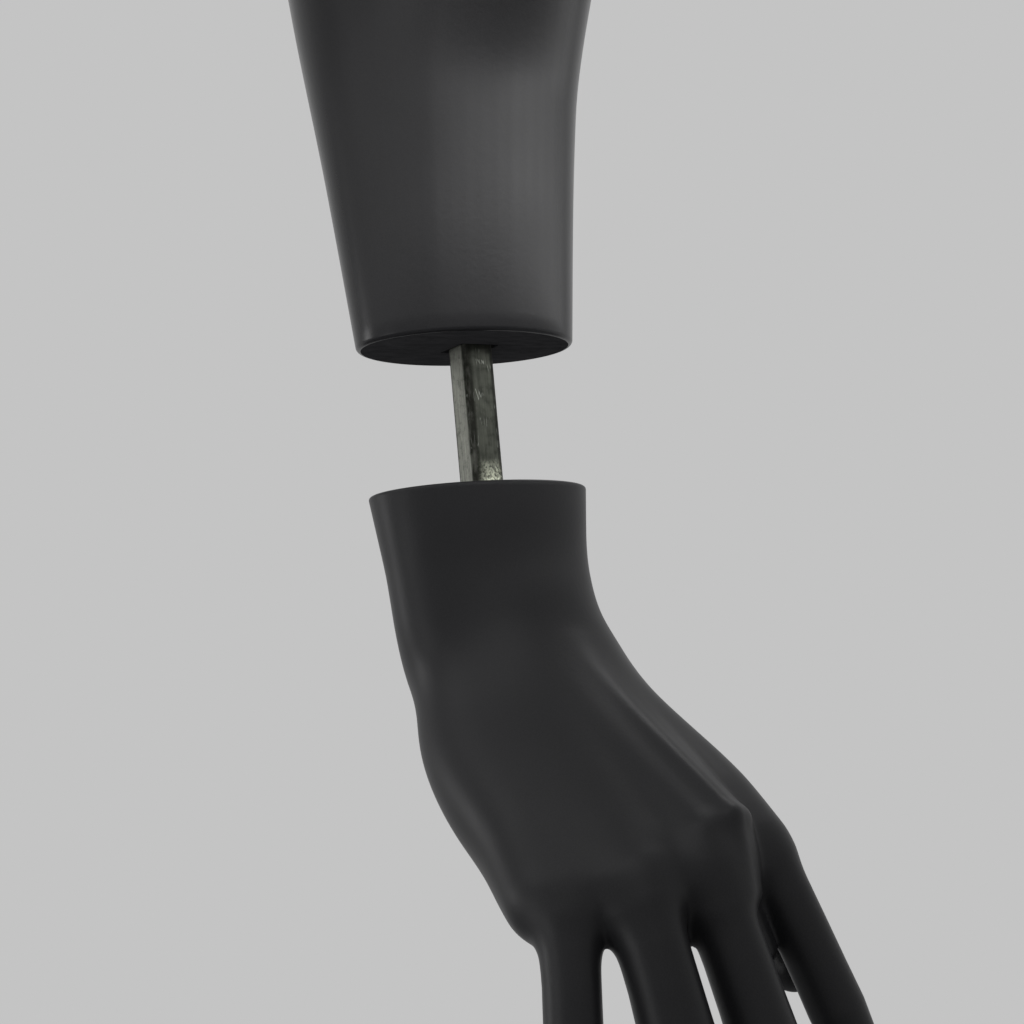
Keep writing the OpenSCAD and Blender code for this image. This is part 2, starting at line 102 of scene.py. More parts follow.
def material(name, **constants):
    """A material with a Principled shader, whose constants are set on its own sockets."""
    made = bpy.data.materials.new(name)
    made.use_nodes = True
    shader = made.node_tree.nodes["Principled BSDF"]
    for socket, value in constants.items():
        shader.inputs[socket.replace("_", " ")].default_value = value
    return made, made.node_tree, shader


def put(tree, kind, inputs=None, **settings):
    """Adds a node. An input is a number, a colour, or another node's output."""
    made = tree.nodes.new(kind)
    for name, value in settings.items():
        setattr(made, name, value)
    for name, value in (inputs or {}).items():
        if isinstance(value, bpy.types.NodeSocket):
            tree.links.new(value, made.inputs[name])
        else:
            made.inputs[name].default_value = value
    return made


def math_node(tree, operation, *values):
    return put(tree, "ShaderNodeMath", dict(enumerate(values)), operation=operation).outputs[0]


def noise(tree, where, scale, detail=3, rough=0.5):
    return put(tree, "ShaderNodeTexNoise", {"Vector": where, "Scale": scale, "Detail": detail,
                                            "Roughness": rough}).outputs["Fac"]


def remap(tree, value, low, high, to_low=0.0, to_high=1.0):
    return put(tree, "ShaderNodeMapRange", {"Value": value, "From Min": low, "From Max": high,
                                            "To Min": to_low, "To Max": to_high}).outputs["Result"]


def mix(tree, share, a, b, how="MIX"):
    made = put(tree, "ShaderNodeMix", data_type="RGBA", blend_type=how)
    for socket, value in zip((made.inputs[0], made.inputs[6], made.inputs[7]), (share, a, b)):
        if isinstance(value, bpy.types.NodeSocket):
            tree.links.new(value, socket)
        else:
            socket.default_value = value if socket is made.inputs[0] else (*value, 1)
    return made.outputs[2]


def stretched(tree, scale):
    """Object coordinates, stretched by a scale along each axis."""
    where = put(tree, "ShaderNodeTexCoord").outputs["Object"]
    return put(tree, "ShaderNodeMapping", {"Vector": where, "Scale": scale}).outputs["Vector"]


def bump(tree, shader, height, strength, distance):
    made = put(tree, "ShaderNodeBump", {"Height": height, "Strength": strength, "Distance": distance})
    tree.links.new(made.outputs["Normal"], shader.inputs["Normal"])


def paint_material(name, dull, duller):
    """Charcoal paint with faint clouding, fine speckle and orange peel, between two roughnesses."""
    made, tree, shader = material(name, Specular_IOR_Level=0.2)
    where = stretched(tree, (1, 1, 1))
    clouds = noise(tree, where, 14, 4)
    speckle = noise(tree, where, 2600, 2)
    tone = mix(tree, remap(tree, clouds, 0.3, 0.7), (0.014, 0.014, 0.015), (0.019, 0.019, 0.0205))
    tone = mix(tree, remap(tree, speckle, 0.35, 0.7, 0, 0.35), tone, (0.028, 0.028, 0.030))
    tree.links.new(tone, shader.inputs["Base Color"])
    rough = remap(tree, noise(tree, where, 45, 5), 0.3, 0.7, dull, duller)
    tree.links.new(rough, shader.inputs["Roughness"])
    bump(tree, shader, noise(tree, where, 700, 3), 0.10, 0.00025)
    return made


def end_face_material():
    """Dark matt end faces, brushed on by hand. Their tone is painted lighter than the real dark finish,
    as painted fill light.
    """
    made, tree, shader = material("dark_end_face_painted_fill", Specular_IOR_Level=0.0)
    where = stretched(tree, (1, 3, 1))
    streaks = noise(tree, where, 160, 5, 0.65)
    # painted fill light: this tone is lighter than the real dark finish, standing in for the light that
    # the shaded end faces don't get
    tone = mix(tree, remap(tree, streaks, 0.35, 0.7), (0.062, 0.062, 0.065), (0.096, 0.096, 0.100))
    tree.links.new(tone, shader.inputs["Base Color"])
    tree.links.new(remap(tree, streaks, 0.3, 0.7, 0.5, 0.68), shader.inputs["Roughness"])
    bump(tree, shader, streaks, 0.25, 0.0003)
    return made


def steel_material():
    """Drawn steel bar, dull and greenish, with rolled corners, scratches and bright worn crystals."""
    made, tree, shader = material("drawn_steel", Metallic=1.0)
    where = put(tree, "ShaderNodeTexCoord")
    place = put(tree, "ShaderNodeSeparateXYZ", {0: where.outputs["Object"]}).outputs
    facing = put(tree, "ShaderNodeSeparateXYZ", {0: where.outputs["Normal"]}).outputs
    streaks = noise(tree, stretched(tree, (1, 1, 0.05)), 1400, 4, 0.6)
    blotches = noise(tree, where.outputs["Object"], 420, 5, 0.7)
    run = remap(tree, streaks, 0.3, 0.7)
    tone = mix(tree, run, (0.13, 0.134, 0.117), (0.24, 0.246, 0.215))
    # painted shade: the side that faces outwards is given a far darker colour, chosen by the way it faces
    outer = remap(tree, facing["Y"], -0.75, -0.98)
    tone = mix(tree, outer, tone, mix(tree, run, (0.030, 0.032, 0.027), (0.052, 0.055, 0.046)))
    tone = mix(tree, remap(tree, blotches, 0.5, 0.72, 0, 0.6), tone, (0.02, 0.021, 0.018))
    # rolled corners are the darkest
    across = [math_node(tree, "ABSOLUTE", math_node(tree, "SUBTRACT", place[axis], centre * MM))
              for axis, centre in (("X", PEG_X), ("Y", AXIS_Y))]
    flat = (PEG_W / 2 - PEG_CORNER) * MM
    corner = math_node(tree, "MINIMUM", *[remap(tree, a, flat, flat + 0.0007) for a in across])
    ragged = remap(tree, noise(tree, stretched(tree, (1, 1, 0.3)), 900, 4), 0.35, 0.6, 0.72, 1.0)
    corner = math_node(tree, "MULTIPLY", corner, ragged)
    tone = mix(tree, corner, tone, (0.024, 0.025, 0.021))
    # fine scratches
    lines = put(tree, "ShaderNodeTexVoronoi", {"Vector": stretched(tree, (1, 1, 0.12)), "Scale": 900},
                feature="DISTANCE_TO_EDGE").outputs["Distance"]
    some = remap(tree, noise(tree, where.outputs["Object"], 230, 2), 0.6, 0.68)
    scratch = math_node(tree, "MULTIPLY", remap(tree, lines, 0.05, 0.0), some)
    tone = mix(tree, math_node(tree, "MULTIPLY", scratch, 0.55), tone, (0.30, 0.31, 0.28))
    # bright worn crystals on the outer side, just above the hand
    low = remap(tree, place["Z"], (HAND_Z + 9) * MM, (HAND_Z + 3) * MM)
    beside = remap(tree, place["X"], (PEG_X - 4) * MM, (PEG_X - 1) * MM)
    cells = put(tree, "ShaderNodeTexVoronoi", {"Vector": stretched(tree, (1, 1, 0.7)), "Scale": 2300})
    grains = put(tree, "ShaderNodeSeparateXYZ", {0: cells.outputs["Color"]}).outputs["X"]
    patch = math_node(tree, "MULTIPLY", math_node(tree, "MULTIPLY", low, beside), outer)
    worn = math_node(tree, "MULTIPLY", patch, remap(tree, grains, 0.2, 0.8, 0.15, 1.0))
    tone = mix(tree, worn, tone, (0.46, 0.48, 0.38))
    tree.links.new(tone, shader.inputs["Base Color"])
    rough = remap(tree, blotches, 0.3, 0.7, 0.34, 0.55)
    tree.links.new(math_node(tree, "MULTIPLY_ADD", corner, 0.2, rough), shader.inputs["Roughness"])
    height = math_node(tree, "ADD", streaks, math_node(tree, "MULTIPLY", grains, worn))
    bump(tree, shader, height, 0.35, 0.0001)
    return made


def zinc_material():
    """Bright zinc plating with a fine spangle."""
    made, tree, shader = material("zinc_plate", Metallic=1.0)
    where = stretched(tree, (1, 1, 1))
    cells = put(tree, "ShaderNodeTexVoronoi", {"Vector": where, "Scale": 600}).outputs["Color"]
    spangle = put(tree, "ShaderNodeSeparateXYZ", {0: cells}).outputs["X"]
    tone = mix(tree, spangle, (0.46, 0.47, 0.48), (0.60, 0.61, 0.63))
    dull = remap(tree, noise(tree, where, 90, 5), 0.45, 0.75, 0, 0.6)
    tone = mix(tree, dull, tone, (0.30, 0.29, 0.27))
    tree.links.new(tone, shader.inputs["Base Color"])
    tree.links.new(remap(tree, spangle, 0, 1, 0.28, 0.42), shader.inputs["Roughness"])
    bump(tree, shader, noise(tree, where, 1500, 3), 0.15, 0.0001)
    return made


def timber_material():
    """Bare softwood with its grain along the arm."""
    made, tree, shader = material("softwood")
    where = stretched(tree, (1, 1, 0.08))
    rings = put(tree, "ShaderNodeTexWave", {"Vector": where, "Scale": 110, "Distortion": 5, "Detail": 3,
                                            "Detail Scale": 1.5}, bands_direction="X").outputs["Fac"]
    fibres = noise(tree, where, 1500, 4, 0.7)
    tone = mix(tree, rings, (0.50, 0.34, 0.19), (0.36, 0.21, 0.10))
    tone = mix(tree, remap(tree, fibres, 0.4, 0.75, 0, 0.5), tone, (0.22, 0.12, 0.05))
    tree.links.new(tone, shader.inputs["Base Color"])
    tree.links.new(remap(tree, fibres, 0.3, 0.7, 0.6, 0.8), shader.inputs["Roughness"])
    bump(tree, shader, fibres, 0.3, 0.0003)
    return made


ARM_PAINT = paint_material("satin_charcoal", 0.21, 0.26)
HAND_PAINT = paint_material("matt_charcoal", 0.38, 0.44)
END_FACE = end_face_material()
FINISH = {"paint": ARM_PAINT, "end_face": END_FACE, "peg_steel": steel_material(),
          "zinc": zinc_material(), "timber": timber_material()}


def dress_cad_nodes():
    for part in frame["record"]["subparts"]:
        mesh = frame["nodes"][part["node"]].data
        mesh.materials.clear()
        mesh.materials.append(FINISH[part["material_slot"]])


def mesh_piece(name, points, faces, body, replaced, paint, dark_faces=()):
    """A smooth piece from points in millimetres. Its dark faces take the end faces' material."""
    mesh = bpy.data.meshes.new(name)
    mesh.from_pydata((np.asarray(points) * MM).tolist(), [], [list(map(int, f)) for f in faces])
    mesh.materials.append(paint)
    mesh.materials.append(END_FACE)
    mesh.shade_smooth()
    for f in dark_faces:
        mesh.polygons[f].material_index = 1
        mesh.polygons[f].use_smooth = False
    piece = bpy.data.objects.new(name, mesh)
    bpy.context.scene.collection.objects.link(piece)
    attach(piece, body)
    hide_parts(replaced)
    return piece


def curve(values, h):
    """Smooth curve through one value for each section, at heights h."""
    at = SECTIONS[:, 0]
    last = len(at) - 1
    ends = [(max(i - 1, 0), min(i + 1, last)) for i in range(last + 1)]
    slope = np.array([(values[b] - values[a]) / (at[b] - at[a]) for a, b in ends])
    i = np.clip(np.searchsorted(at, h) - 1, 0, last - 1)
    w = at[i + 1] - at[i]
    t = (h - at[i]) / w
    return ((2 * t**3 - 3 * t**2 + 1) * values[i] + (t**3 - 2 * t**2 + t) * w * slope[i]
            + (3 * t**2 - 2 * t**3) * values[i + 1] + (t**3 - t**2) * w * slope[i + 1])


def swell(h, angle):
    """How far the forearm's outer muscle stands proud of the plain sections."""
    start, full, fade, end = 66, 130, 150, 240
    height, middle = 9, math.radians(-72)
    rise = np.clip((h - start) / (full - start), 0, 1)
    fall = np.clip((end - h) / (end - fade), 0, 1)
    along = rise**2 * (3 - 2 * rise) * fall**2 * (3 - 2 * fall)
    around = np.cos(np.clip(angle - middle, -math.pi / 2, math.pi / 2)) ** 2
    return height * along * around


def arm_ring(h, inset, sides):
    """One ring of the arm at height h along its path, drawn in by a distance."""
    angle = np.linspace(-math.pi, math.pi, sides, endpoint=False)
    x0, y0, w, d = (float(curve(SECTIONS[:, c], np.array([h]))[0]) for c in (1, 2, 3, 4))
    more = swell(h, angle) - inset
    bend = max(0, h - BEND_START) / BEND_R
    if h > BEND_START:
        z = BEND_Z + BEND_R * math.sin(bend)
    else:
        z = WRIST_Z + h
    centre = np.array([PEG_X, AXIS_Y + BEND_R * (1 - math.cos(bend)), z])
    out = np.array([0, -math.cos(bend), math.sin(bend)])
    across = (x0 + (w / 2 + more) * np.cos(angle))[:, None] * np.array([1, 0, 0])
    return centre + across + (y0 - (d / 2 + more) * np.sin(angle))[:, None] * out


def rim(end, inwards):
    """Heights and insets that round a shell's edge from its side to its end face."""
    return [(end + inwards * ARM_EDGE * (1 - math.sin(t)), ARM_EDGE * (1 - math.cos(t)))
            for t in np.linspace(0, math.pi / 2, EDGE_POINTS)]


def build_arm():
    """The shell, open at both ends, with its wall turned in to meet the end caps."""
    sides, step, bond_gap = 128, 4, 0.28
    bond = ARM_WALL + bond_gap
    low, high = rim(0, 1), rim(PATH_LEN, -1)
    spans = np.linspace(low[0][0], high[0][0], int(PATH_LEN / step))[1:-1]
    stack = [(CAP_T, bond), (0, bond)] + low[::-1] + [(h, 0) for h in spans]
    stack += high + [(PATH_LEN, bond), (PATH_LEN - CAP_T, bond)]
    points = np.concatenate([arm_ring(h, inset, sides) for h, inset in stack])
    faces, dark = [], []
    for i in range(len(stack) - 1):
        # the first two and the last two bands are the wall at the end faces
        is_end = i < 2 or i > len(stack) - 4
        for k in range(sides):
            if is_end:
                dark.append(len(faces))
            n = (k + 1) % sides
            faces.append((i * sides + k, i * sides + n, (i + 1) * sides + n, (i + 1) * sides + k))
    mesh_piece("arm", points, faces, "arm", "arm_shell", ARM_PAINT, dark)


# The hand is a distance field in millimetres, from the wrist face on the peg's axis
def turn(axis, degrees):
    return np.array(Matrix.Rotation(math.radians(degrees), 3, axis))


JOINT = np.array([-PEG_SHIFT, 0, -HAND_GAP - NECK_LEN])
TURN = turn("X", -HAND_BEND) @ turn("Y", -HAND_DEVIATION) @ turn("Z", HAND_TURN)

# Fingers from the wrist joint: knuckle, bone lengths, splay, bends, radii at the joints
FINGERS = {
    "index": ((26.2, 5.4, -95.5), (41, 25, 21), 5.2, (34, 8, 8), (8.0, 7.7, 7.0, 5.8)),
    "middle": ((3.3, -3.8, -95), (45, 29, 22), -1.5, (34, 8, 8), (8.8, 9.1, 7.7, 6.1)),
    "ring": ((-17.8, -3.4, -97), (39, 27, 22), -6, (34, 10, 10), (9.2, 10, 8.2, 6.3)),
    "little": ((-33.9, 1.4, -89), (31, 20, 19), -20.5, (34, 10, 10), (8.0, 7.6, 6.5, 5.3)),
}
# Palm bones: root, head, radii, size of the fillet to the bone before it
PALM = {
    "index": ((13, -2.4, -4), (26.4, 6, -90), (8.8, 8.4), 13),
    "middle": ((4.5, 0, -4), (4, -3, -92), (10.6, 9.4), 13),
    "ring": ((-4, 2.6, -4), (-16, -3.4, -89), (11, 10.2), 21),
    "little": ((-6.5, 4.5, -5), (-31.5, 3.4, -79), (12.2, 11), 21),
}
THUMB = ((16, 9, -18), (29, 26, -54), (34, 35, -86), (34.5, 38, -109))
THUMB_R = (14, 11.5, 9.8, 7.4)
# Pads of the palm: centre, radii
PADS = [
    ((22.5, 15, -40), (14, 12, 26)),
    ((-24.2, 8, -45), (13.2, 13.5, 30)),
    ((-5, 9, -76), (29, 10, 14)),
    ((24, 9.6, -72), (10.5, 10.5, 20)),
    ((0, 7, -50), (22, 10, 34)),
]
CARPUS = ((0.2, 5.5, -13), (24, 14.5, 20))
# Webs: two fingers, and the share of their first bones that the web reaches along
WEBS = [("index", "middle", 0.45), ("middle", "ring", 0.18), ("ring", "little", -0.25)]
# How far the webs lie below the knuckles, the share that they start behind them, and their radii
WEB_DEPTH, WEB_BACK, WEB_R = 5, 0.3, (6, 4)
# Share of the palm that a finger's bend reaches into, and how far that end dips to the palm's side
PALM_SHARE, PALM_DIP = 0.22, 2
# Low crest on the back of the index palm bone: points of its edge, its two flat sides, the lines
# that make a side, and their radius
CREST_EDGE = ((9.8, -9.2, -22), (14.4, -13.2, -88), (9.5, -3, -103))
CREST_SIDES = ((4, 3.4, 0), (-9, 1.1, 0))
CREST_LINES, CREST_R = 4, 2.5
# Neck: what each half width loses over its length, its lean forward, the share of the length that it
# reaches to, and the shares between which its width changes
NECK_TAPER, NECK_LEAN, NECK_REACH, NECK_ENDS = (4.5, 6), 1.5, 1.1, (-0.5, 1.3)
# Nails, in shares of the fingertip's radius: set back from the tip, raised from its axis, radii
NAIL_SET, NAIL_RISE, NAIL_R = 0.15, 0.42, np.array([0.74, 0.66, 1.0])
# Sizes of the fillets where the hand's forms join
FILLET = {"pad": 14, "thumb": 9, "fingers": 1.5, "web": 3, "neck": 15, "knuckles": 6, "crest": 6,
          "crest_lines": 2, "nail": 0.5, "neck_end": 16}
HAND_BOX = np.array([-60.0, -150, -300]), np.array([90.0, 70, -HAND_GAP + 8])
GRID, QUICK_GRID, FACE_EDGE = 0.9, 2.0, 0.8
# Stands for a field where nothing is yet
FAR = 1e9


def in_hand(p):
    return JOINT + TURN @ np.array(p, float)


def join(a, b, k):
    """Union of two fields, with a smooth fillet of size k."""
    near = np.maximum(0, 1 - np.abs(a - b) / (1.5 * k))
    return np.minimum(a, b) - near**3 * k / 4


def ball_cone(p, a, b, ra, rb):
    """Distance to the hull of two balls."""
    axis = b - a
    length2 = axis @ axis
    dr = ra - rb
    taper = length2 - dr * dr
    away = p - a
    y = away @ axis
    z = y - length2
    x2 = ((away * length2 - y[:, None] * axis) ** 2).sum(1)
    y2, z2 = y * y * length2, z * z * length2
    k = np.sign(dr) * dr * dr * x2
    side = (np.sqrt(np.maximum(x2 * taper / length2, 0)) + y * dr) / length2 - ra
    side = np.where(np.sign(y) * taper * y2 < k, np.sqrt(x2 + y2) / length2 - ra, side)
    return np.where(np.sign(z) * taper * z2 > k, np.sqrt(x2 + z2) / length2 - rb, side)


def ellipsoid(p, centre, radii, axes=TURN):
    q = (p - centre) @ axes / np.array(radii, float)
    far = np.linalg.norm(q, axis=1)
    slope = np.linalg.norm(q / np.array(radii, float), axis=1)
    return far * (far - 1) / np.maximum(slope, 1e-9)


def finger_points(name):
    knuckle, lengths, splay, bends, _ = FINGERS[name]
    points, bend, side = [np.array(knuckle, float)], 0, math.radians(splay)
    for length, more in zip(lengths, bends):
        bend += math.radians(more)
        points.append(points[-1] + length * np.array(
            [math.sin(side), math.cos(side) * math.sin(bend), -math.cos(side) * math.cos(bend)]))
    return [in_hand(p) for p in points]


def smooth_chain(points, radii, parts=4, waist=0.05):
    """Points and radii of a chain of bones: bends are eased, and shafts drawn in between joints."""
    points, radii = np.array(points), np.array(radii, float)
    last = len(points) - 1
    slopes = np.array([points[min(i + 1, last)] - points[max(i - 1, 0)] for i in range(last + 1)])
    slopes[1:-1] *= 0.5
    out_p, out_r = [], []
    for i in range(last):
        for t in np.arange(parts) / parts:
            out_p.append((2 * t**3 - 3 * t**2 + 1) * points[i] + (t**3 - 2 * t**2 + t) * slopes[i]
                         + (3 * t**2 - 2 * t**3) * points[i + 1] + (t**3 - t**2) * slopes[i + 1])
            out_r.append((radii[i] * (1 - t) + radii[i + 1] * t) * (1 - waist * math.sin(math.pi * t)))
    return np.array(out_p + [points[-1]]), np.array(out_r + [radii[-1]])


def chain_field(p, points, radii):
    """Distance to a chain of bones; far from it, only a bound on that distance."""
    exact_within = 24
    centre = (points.min(0) + points.max(0)) / 2
    reach = np.linalg.norm(points - centre, axis=1).max() + radii.max()
    field = np.linalg.norm(p - centre, axis=1) - reach
    near = field < exact_within
    q = p[near]
    exact = np.full(len(q), FAR)
    for i in range(len(points) - 1):
        exact = np.minimum(exact, ball_cone(q, points[i], points[i + 1], radii[i], radii[i + 1]))
    field[near] = exact
    return field


def nail(tip, before, radius, back):
    """Centre, radii and axes of a nail on the back of a fingertip."""
    along = (tip - before) / np.linalg.norm(tip - before)
    back = back - along * (back @ along)
    back /= np.linalg.norm(back)
    axes = np.stack([np.cross(back, along), back, along], 1)
    return tip - along * radius * NAIL_SET + back * radius * NAIL_RISE, radius * NAIL_R, axes


def finger_chain(name):
    """A finger's chain of bones, from inside the palm to its tip."""
    knuckle, root = np.array(FINGERS[name][0], float), np.array(PALM[name][0], float)
    inner = knuckle + PALM_SHARE * (root - knuckle) + np.array([0, PALM_DIP, 0])
    radii = FINGERS[name][4]
    return smooth_chain([in_hand(inner)] + finger_points(name), (radii[0],) + radii)


BACK = TURN @ np.array([0, -1.0, 0])
CHAINS = [(*finger_chain(n), BACK) for n in FINGERS]
THUMB_BACK = TURN @ np.array([0.8, -0.6, 0])
CHAINS.append((*smooth_chain([in_hand(p) for p in THUMB], THUMB_R), THUMB_BACK))


def neck_field(p):
    """Oval neck from the hand's flat face to the wrist joint. It runs on above the face."""
    depth = -HAND_GAP - p[:, 2]
    t = np.clip(depth / NECK_LEN, *NECK_ENDS)
    rx, ry = WRIST_W / 2 - NECK_TAPER[0] * t, WRIST_D / 2 - NECK_TAPER[1] * t
    off = np.sqrt(((p[:, 0] + PEG_SHIFT - NECK_LEAN * t) / rx) ** 2 + (p[:, 1] / ry) ** 2)
    side = (off - 1) * np.minimum(rx, ry)
    return -join(-side, NECK_LEN * NECK_REACH - depth, FILLET["neck_end"])


def crest_field(p):
    """Distance to the crest on the back of the hand: a sharp edge, with a flat side each way from it."""
    field = np.full(len(p), FAR)
    for share in np.linspace(0, 1, CREST_LINES):
        for side in CREST_SIDES:
            line = [in_hand(np.array(end) + share * np.array(side)) for end in CREST_EDGE]
            for a, b in zip(line, line[1:]):
                field = join(field, ball_cone(p, a, b, CREST_R, CREST_R), FILLET["crest_lines"])
    return field


def hand_field(p):
    """Distance to the whole hand, before its neck is cut off flat."""
    palm = None
    for root, head, (r0, r1), fillet in PALM.values():
        bone = ball_cone(p, in_hand(root), in_hand(head), r0, r1)
        palm = bone if palm is None else join(palm, bone, fillet)
    palm = join(palm, ellipsoid(p, in_hand(CARPUS[0]), CARPUS[1]), FILLET["pad"])
    for centre, radii in PADS:
        palm = join(palm, ellipsoid(p, in_hand(centre), radii), FILLET["pad"])
    palm = join(palm, chain_field(p, *CHAINS[-1][:2]), FILLET["thumb"])
    fingers = np.full(len(p), FAR)
    for points, radii, _ in CHAINS[:-1]:
        fingers = join(fingers, chain_field(p, points, radii), FILLET["fingers"])
    for one, two, share in WEBS:
        a, b = finger_points(one), finger_points(two)
        middle, along = (a[0] + b[0]) / 2 - BACK * WEB_DEPTH, (a[1] - a[0] + b[1] - b[0]) / 2
        web = ball_cone(p, middle - WEB_BACK * along, middle + share * along, *WEB_R)
        fingers = join(fingers, web, FILLET["web"])
    field = join(join(neck_field(p), palm, FILLET["neck"]), fingers, FILLET["knuckles"])
    field = join(field, crest_field(p), FILLET["crest"])
    for points, radii, back in CHAINS:
        centre, size, axes = nail(points[-1], points[-3], radii[-1], back)
        field = join(field, ellipsoid(p, centre, size, axes), FILLET["nail"])
    return field


def sample(field, low, high, step, block=8, batch=400):
    """Field on a grid: exact in the blocks near the surface, one value for each block elsewhere."""
    count = np.ceil((high - low) / (step * block)).astype(int)
    blocks = np.indices(count).reshape(3, -1).T
    reach = field(low + (blocks * block + (block - 1) / 2) * step)
    grid = np.repeat(np.repeat(np.repeat(reach.reshape(count), block, 0), block, 1), block, 2)
    inside = np.indices((block,) * 3).reshape(3, -1).T
    near = blocks[np.abs(reach) < step * block]
    for part in np.array_split(near, max(1, len(near) // batch)):
        cells = (part[:, None] * block + inside).reshape(-1, 3)
        grid[tuple(cells.T)] = field(low + cells * step)
    return grid


def surface_net(grid, low, step):
    """Quads around a field's zero surface: one point in each cell that it crosses."""
    solid = grid < 0
    size = np.array(grid.shape)
    corners = sum(solid[i:size[0] - 1 + i, j:size[1] - 1 + j, k:size[2] - 1 + k].astype(np.int8)
                  for i in (0, 1) for j in (0, 1) for k in (0, 1))
    crossed = (corners > 0) & (corners < 8)
    cells = np.argwhere(crossed)
    index = np.full(crossed.shape, -1)
    index[crossed] = np.arange(len(cells))
    total, count = np.zeros((len(cells), 3)), np.zeros(len(cells))
    unit = np.eye(3, dtype=int)
    quads = []
    for axis in range(3):
        one, two = unit[(axis + 1) % 3], unit[(axis + 2) % 3]
        for start in (cells, cells + one, cells + two, cells + one + two):
            a, b = grid[tuple(start.T)], grid[tuple((start + unit[axis]).T)]
            cut = (a < 0) != (b < 0)
            total[cut] += start[cut] + unit[axis] * (a[cut] / (a[cut] - b[cut]))[:, None]
            count[cut] += 1
        first = np.take(solid, range(size[axis] - 1), axis)
        edges = np.argwhere(first != np.take(solid, range(1, size[axis]), axis))
        sides = edges @ (np.stack([one, two], 1))
        edges = edges[((sides > 0) & (sides < size @ np.stack([one, two], 1) - 1)).all(1)]
        ring = np.stack([index[tuple((edges - shift).T)] for shift in (one + two, two, 0 * one, one)], 1)
        outwards = first[tuple(edges.T)]
        ring[~outwards] = ring[~outwards][:, ::-1]
        quads.append(ring)
    return low + step * total / count[:, None], np.concatenate(quads)


def onto_surface(field, points, rounds=2):
    """Moves points onto a field's zero surface."""
    nudge, least_slope = 0.25, 0.05
    for _ in range(rounds):
        here = field(points)
        slope = np.stack([field(points + nudge * axis) - here for axis in np.eye(3)], 1) / nudge
        points = points - slope * (here / np.maximum((slope**2).sum(1), least_slope))[:, None]
    return points


def cut_face(mesh, height, radius):
    """Cuts the neck off flat at a height, with a rounded edge, and closes it with one dark face."""
    bm = bmesh.new()
    bm.from_mesh(mesh)
    every = bm.verts[:] + bm.edges[:] + bm.faces[:]
    bmesh.ops.bisect_plane(bm, geom=every, plane_co=(0, 0, height - radius), plane_no=(0, 0, 1),
                           clear_outer=True)
    edge = [e for e in bm.edges if e.is_boundary]
    middle = Vector(((PEG_X - PEG_SHIFT) * MM, AXIS_Y * MM, 0))
    shape = Vector((WRIST_W / 2, WRIST_D / 2)) * MM
    turned = 0
    for step in np.linspace(0, math.pi / 2, EDGE_POINTS)[1:]:
        made = bmesh.ops.extrude_edge_only(bm, edges=edge)["geom"]
        for v in (g for g in made if isinstance(g, bmesh.types.BMVert)):
            out = Vector(((v.co.x - middle.x) / shape.x**2,
                          (v.co.y - middle.y) / shape.y**2, 0)).normalized()
            v.co -= out * radius * (math.cos(turned) - math.cos(step))
            v.co.z = height - radius * (1 - math.sin(step))
        edge = [g for g in made if isinstance(g, bmesh.types.BMEdge)]
        turned = step
    face = bmesh.ops.contextual_create(bm, geom=edge)["faces"][0]
    for f in bm.faces:
        f.smooth = True
    face.smooth = False
    face.material_index = 1
    bmesh.ops.recalc_face_normals(bm, faces=bm.faces[:])
    bm.to_mesh(mesh)
    bm.free()


def build_hand():
    step = GRID
    low, high = HAND_BOX
    points, quads = surface_net(sample(hand_field, low, high, step), low, step)
    points = onto_surface(hand_field, points)
    piece = mesh_piece("hand", points + WRIST, quads, "hand", "hand_casting", HAND_PAINT)
    cut_face(piece.data, HAND_Z * MM, FACE_EDGE * MM)


# Camera, from the photograph's framing
CAMERA_TURN, CAMERA_RISE, CAMERA_ROLL = (math.radians(a) for a in (-33, -7, 5.15))
PIXEL = 0.285 * MM
DISTANCE = 0.6
IMAGE = 1024
PEG_PIXEL = (470, 349)
SENSOR = 36


def direction(turned, rise):
    """Unit vector at an angle round the arm from its outer side, and at a rise above level."""
    return Vector((math.sin(turned) * math.cos(rise), -math.cos(turned) * math.cos(rise),
                   math.sin(rise)))


BACKWARD = direction(CAMERA_TURN, CAMERA_RISE)
RIGHT = Vector((math.cos(CAMERA_TURN), math.sin(CAMERA_TURN), 0))


def build_camera():
    """Camera at the photograph's angle, with the peg's upper end at its place in the picture."""
    up = RIGHT.cross(-BACKWARD)
    right = math.cos(CAMERA_ROLL) * RIGHT - math.sin(CAMERA_ROLL) * up
    up = math.sin(CAMERA_ROLL) * RIGHT + math.cos(CAMERA_ROLL) * up
    x, y = (PEG_PIXEL[0] - IMAGE / 2) * PIXEL, (IMAGE / 2 - PEG_PIXEL[1]) * PIXEL
    lens = bpy.data.cameras.new("camera")
    lens.sensor_width = SENSOR
    lens.lens = SENSOR * DISTANCE / PIXEL / IMAGE
    made = bpy.data.objects.new("camera", lens)
    place = Vector(WRIST * MM) - (x * right + y * up - DISTANCE * BACKWARD)
    made.matrix_world = Matrix.Translation(place) @ Matrix((right, up, BACKWARD)).transposed().to_4x4()
    bpy.context.scene.collection.objects.link(made)
    bpy.context.scene.camera = made


def softbox(name, side, rise, distance, width, height, level, aim, beam=90):
    """Soft light at an angle to the right of the camera and a rise above level, aimed at a point.
    Its level is how bright it looks along its axis: 1 is white. A grid can narrow its beam, in
    degrees to a side."""
    towards = direction(CAMERA_TURN + math.radians(side), math.radians(rise))
    light = bpy.data.lights.new(name, "AREA")
    light.shape = "RECTANGLE"
    light.size, light.size_y = width, height
    light.energy = level * math.pi * width * height
    if beam < 90:
        half = math.radians(beam)
        light.spread = 2 * half
        light.energy *= 1 - half / math.tan(half)
    made = bpy.data.objects.new(name, light)
    made.location = aim + towards * distance
    made.rotation_euler = towards.to_track_quat("Z", "Y").to_euler()
    made.visible_camera = False
    bpy.context.scene.collection.objects.link(made)


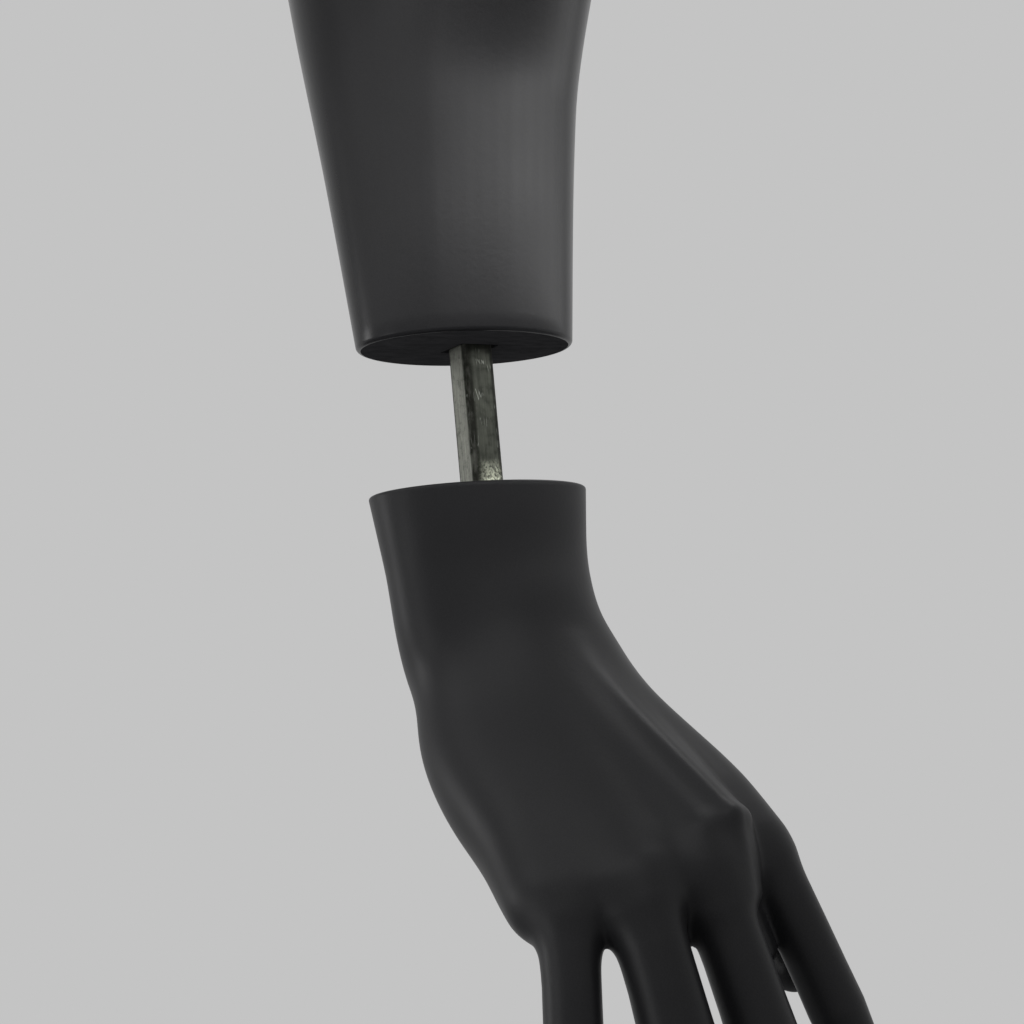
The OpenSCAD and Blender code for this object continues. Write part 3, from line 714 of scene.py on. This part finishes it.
def build_lights():
    wrist = Vector(WRIST * MM)
    forearm, hand = wrist + Vector((0, 0, 0.04)), wrist - Vector((0, 0, 0.14))
    # an arc of strip lights with grids, for the forearm alone
    turns, levels = (-96, -48, 0, 12, 36, 72, 96, 120), (0.6, 1.6, 2.6, 4.8, 6.8, 7.3, 4.2, 1.2)
    for side in range(-96, 121, 12):
        level = float(np.interp(side, turns, levels))
        softbox(f"arc_box_{side}", side, rise=5, distance=0.5, width=0.11, height=0.13, level=level,
                aim=forearm, beam=12)
    softbox("left_box", side=-100, rise=2, distance=0.6, width=0.5, height=0.34, level=6.0,
            aim=hand - Vector((0, 0, 0.015)), beam=13)
    softbox("left_low_box", side=-60, rise=-8, distance=0.6, width=0.4, height=0.3, level=3.6,
            aim=hand - Vector((0, 0, 0.03)), beam=18)
    softbox("top_box", side=0, rise=50, distance=0.7, width=0.75, height=0.45, level=0.95, aim=hand)
    softbox("top_left_box", side=-60, rise=36, distance=0.7, width=0.42, height=0.32, level=1.9,
            aim=hand, beam=30)
    softbox("rim_box", side=119, rise=54, distance=0.7, width=0.18, height=0.18, level=5.2,
            aim=hand, beam=30)


def build_world():
    """Soft grey surroundings, which the camera and reflections see at the background's own grey."""
    world = bpy.data.worlds.new("studio")
    world.use_nodes = True
    bpy.context.scene.world = world
    tree = world.node_tree
    ray = put(tree, "ShaderNodeLightPath").outputs
    direct = math_node(tree, "MAXIMUM", ray["Is Camera Ray"], ray["Is Glossy Ray"])
    seen = math_node(tree, "MAXIMUM", direct, ray["Is Transmission Ray"])
    tone = mix(tree, seen, (0.24, 0.24, 0.245), (0.552, 0.552, 0.552))
    tree.links.new(tone, tree.nodes["Background"].inputs["Color"])


def build_floor():
    """Pale round floor below the hanging arm."""
    radius, drop, sides, glow = 1.1, 0.3, 96, 0.45
    made, tree, shader = material("floor_paint", Roughness=0.9, Specular_IOR_Level=0.1)
    grain = noise(tree, stretched(tree, (1, 1, 1)), 30, 4)
    tone = mix(tree, remap(tree, grain, 0.3, 0.7), (0.60, 0.60, 0.60), (0.64, 0.64, 0.64))
    tree.links.new(tone, shader.inputs["Base Color"])
    # the camera sees it pale, and the light that it throws back stays low
    seen = put(tree, "ShaderNodeLightPath").outputs["Is Camera Ray"]
    tree.links.new(tone, shader.inputs["Emission Color"])
    tree.links.new(math_node(tree, "MULTIPLY", seen, glow), shader.inputs["Emission Strength"])
    turn_by = 2 * math.pi / sides
    ring = [(PEG_X * MM + radius * math.cos(k * turn_by), AXIS_Y * MM + radius * math.sin(k * turn_by), 0)
            for k in range(sides)]
    mesh = bpy.data.meshes.new("floor")
    mesh.from_pydata(ring, [], [list(range(sides))])
    mesh.materials.append(made)
    floor = bpy.data.objects.new("floor", mesh)
    floor.location.z = cad_box[0].z - drop
    bpy.context.scene.collection.objects.link(floor)


dress_cad_nodes()
build_arm()
build_hand()
build_camera()
build_lights()
build_world()
build_floor()
bpy.context.scene.view_settings.view_transform = "Standard"
